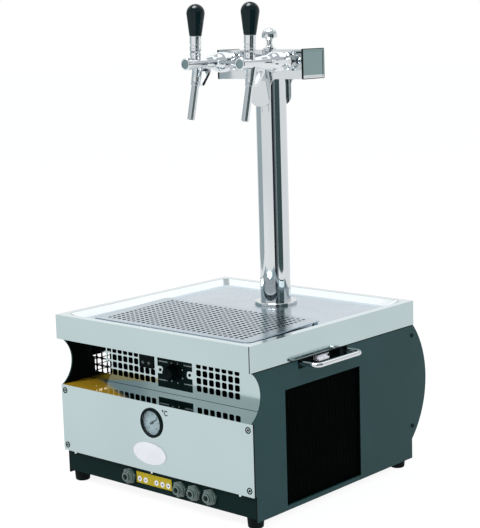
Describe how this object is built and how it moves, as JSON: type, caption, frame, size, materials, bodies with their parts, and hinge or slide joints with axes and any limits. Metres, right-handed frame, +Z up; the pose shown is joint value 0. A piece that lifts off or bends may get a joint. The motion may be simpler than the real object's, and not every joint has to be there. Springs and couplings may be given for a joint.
{
  "type": "beer tap cooler",
  "caption": "Over-counter beer cooler: stainless drip tray on a dark cabinet with side vents, pull-out handles and a recessed thermostat, and a polished column whose header carries lever taps.",
  "frame": {"origin": "on the standing surface, under the middle of the object's box", "axes": "+Z up, -Y to the front where the controls and ports are, +X to the right seen from the front"},
  "size_m": [0.512, 0.4742, 0.8124],
  "materials": {
    "stainless": "polished sheet",
    "chrome": "mirror polished",
    "slate_paint": "satin powder coat",
    "black_paint": "satin",
    "black_rubber": "matt",
    "gloss_black": "gloss",
    "black_plastic": "satin",
    "grey_plastic": "satin",
    "white_plastic": "satin",
    "yellow_label": "printed film",
    "clear_lens": "clear",
    "foam": "matt foam",
    "aluminium": "mill",
    "copper_tube": "drawn tube"
  },
  "bodies": {
    "cabinet": {"base_pan": "black_paint", "feet": "black_rubber", "left_side_panel": "slate_paint", "right_side_panel": "slate_paint", "rear_cover": "slate_paint", "front_panel": "stainless", "grille_panel": "stainless", "front_screws": "chrome", "side_screws": "black_paint", "handle_guides": "black_plastic", "handle_stops": "white_plastic", "thermostat": "black_paint", "terminal_cover": "black_plastic", "thermometer_case": "gloss_black", "thermometer_dial": "white_plastic", "thermometer_lens": "clear_lens", "badge_plate": "white_plastic", "port_label": "yellow_label", "bulkhead_bodies": "grey_plastic", "bulkhead_nuts": "grey_plastic", "cord_gland": "black_plastic", "compressor": "black_paint", "compressor_mounts": "black_rubber", "condenser": "black_paint", "fan_shroud": "black_paint", "fan_motor": "black_paint", "water_tank": "stainless", "tank_insulation": "foam", "evaporator_coil": "copper_tube", "beer_coils": "stainless", "agitator_motor": "black_plastic", "tray_top": "stainless", "column_tube": "chrome", "column_flange": "chrome", "header_body": "chrome", "header_end_caps": "stainless", "header_knob": "chrome", "tap_shanks": "chrome", "left_tap_body": "chrome", "right_tap_body": "chrome", "tap_spouts": "chrome"},
    "left_lever": {"left_tap_lever": "chrome", "left_tap_grip": "gloss_black"},
    "right_lever": {"right_tap_lever": "chrome", "right_tap_grip": "gloss_black"},
    "left_plunger": {"left_plunger": "grey_plastic"},
    "right_plunger": {"right_plunger": "grey_plastic"},
    "left_flow_control": {"left_flow_lever": "chrome"},
    "right_flow_control": {"right_flow_lever": "chrome"},
    "left_carry_handle": {"left_handle": "chrome"},
    "right_carry_handle": {"right_handle": "chrome"},
    "temperature_knob": {"thermostat_knob": "black_plastic"},
    "temperature_needle": {"thermometer_needle": "black_paint"},
    "fan": {"fan_blades": "aluminium"},
    "agitator": {"agitator_impeller": "stainless"},
    "grille": {"drip_grille": "stainless"},
    "inlet_release": {"inlet_collet": "grey_plastic"},
    "outlet_release": {"outlet_collet": "grey_plastic"},
    "left_beer_release": {"left_beer_collet": "grey_plastic"},
    "right_beer_release": {"right_beer_collet": "grey_plastic"}
  },
  "joints": [
    {"name": "left_lever_pull", "type": "hinge", "parent": "cabinet", "child": "left_lever", "pos_m": [-0.061, -0.03425, 0.7285], "axis": [1, 0, 0], "range_deg": [-15, 40]},
    {"name": "left_plunger_slide", "type": "slide", "parent": "cabinet", "child": "left_plunger", "axis": [0, 1, 0], "range_m": [-0.0045, 0.0115]},
    {"name": "left_flow_turn", "type": "hinge", "parent": "cabinet", "child": "left_flow_control", "pos_m": [-0.0402, 0.04225, 0.7125], "axis": [1, 0, 0], "range_deg": [-60, 45]},
    {"name": "left_handle_slide", "type": "slide", "parent": "cabinet", "child": "left_carry_handle", "axis": [-1, 0, 0], "range_m": [-0.025, 0]},
    {"name": "right_lever_pull", "type": "hinge", "parent": "cabinet", "child": "right_lever", "pos_m": [0.061, -0.03425, 0.7285], "axis": [1, 0, 0], "range_deg": [-15, 40]},
    {"name": "right_plunger_slide", "type": "slide", "parent": "cabinet", "child": "right_plunger", "axis": [0, 1, 0], "range_m": [-0.0045, 0.0115]},
    {"name": "right_flow_turn", "type": "hinge", "parent": "cabinet", "child": "right_flow_control", "pos_m": [0.0818, 0.04225, 0.7125], "axis": [1, 0, 0], "range_deg": [-60, 45]},
    {"name": "right_handle_slide", "type": "slide", "parent": "cabinet", "child": "right_carry_handle", "axis": [1, 0, 0], "range_m": [-0.025, 0]},
    {"name": "thermostat_turn", "type": "hinge", "parent": "cabinet", "child": "temperature_knob", "pos_m": [-0.004, -0.18015, 0.212], "axis": [0, -1, 0], "range_deg": [-140, 140]},
    {"name": "needle_swing", "type": "hinge", "parent": "cabinet", "child": "temperature_needle", "pos_m": [0, -0.23065, 0.14], "axis": [0, -1, 0], "range_deg": [-80, 190], "stiffness_Nm_per_rad": 0.0005},
    {"name": "fan_spin", "type": "hinge", "parent": "cabinet", "child": "fan", "pos_m": [0.16, -0.05365, 0.118], "axis": [1, 0, 0], "continuous": true},
    {"name": "agitator_spin", "type": "hinge", "parent": "cabinet", "child": "agitator", "pos_m": [0, 0.12595, 0.1], "axis": [0, 0, 1], "continuous": true},
    {"name": "drip_grille_lift", "type": "slide", "parent": "cabinet", "child": "grille", "axis": [0, 0, 1], "range_m": [0, 0.03]},
    {"name": "inlet_collet_push", "type": "slide", "parent": "cabinet", "child": "inlet_release", "axis": [0, 1, 0], "range_m": [0, 0.0012]},
    {"name": "outlet_collet_push", "type": "slide", "parent": "cabinet", "child": "outlet_release", "axis": [0, 1, 0], "range_m": [0, 0.0012]},
    {"name": "left_beer_collet_push", "type": "slide", "parent": "cabinet", "child": "left_beer_release", "axis": [0, 1, 0], "range_m": [0, 0.0012]},
    {"name": "right_beer_collet_push", "type": "slide", "parent": "cabinet", "child": "right_beer_release", "axis": [0, 1, 0], "range_m": [0, 0.0012]}
  ],
  "couplings": [
    {"joint": "left_plunger_slide", "follows": "left_lever_pull", "m_per_rad": 0.016},
    {"joint": "right_plunger_slide", "follows": "right_lever_pull", "m_per_rad": 0.016}
  ]
}
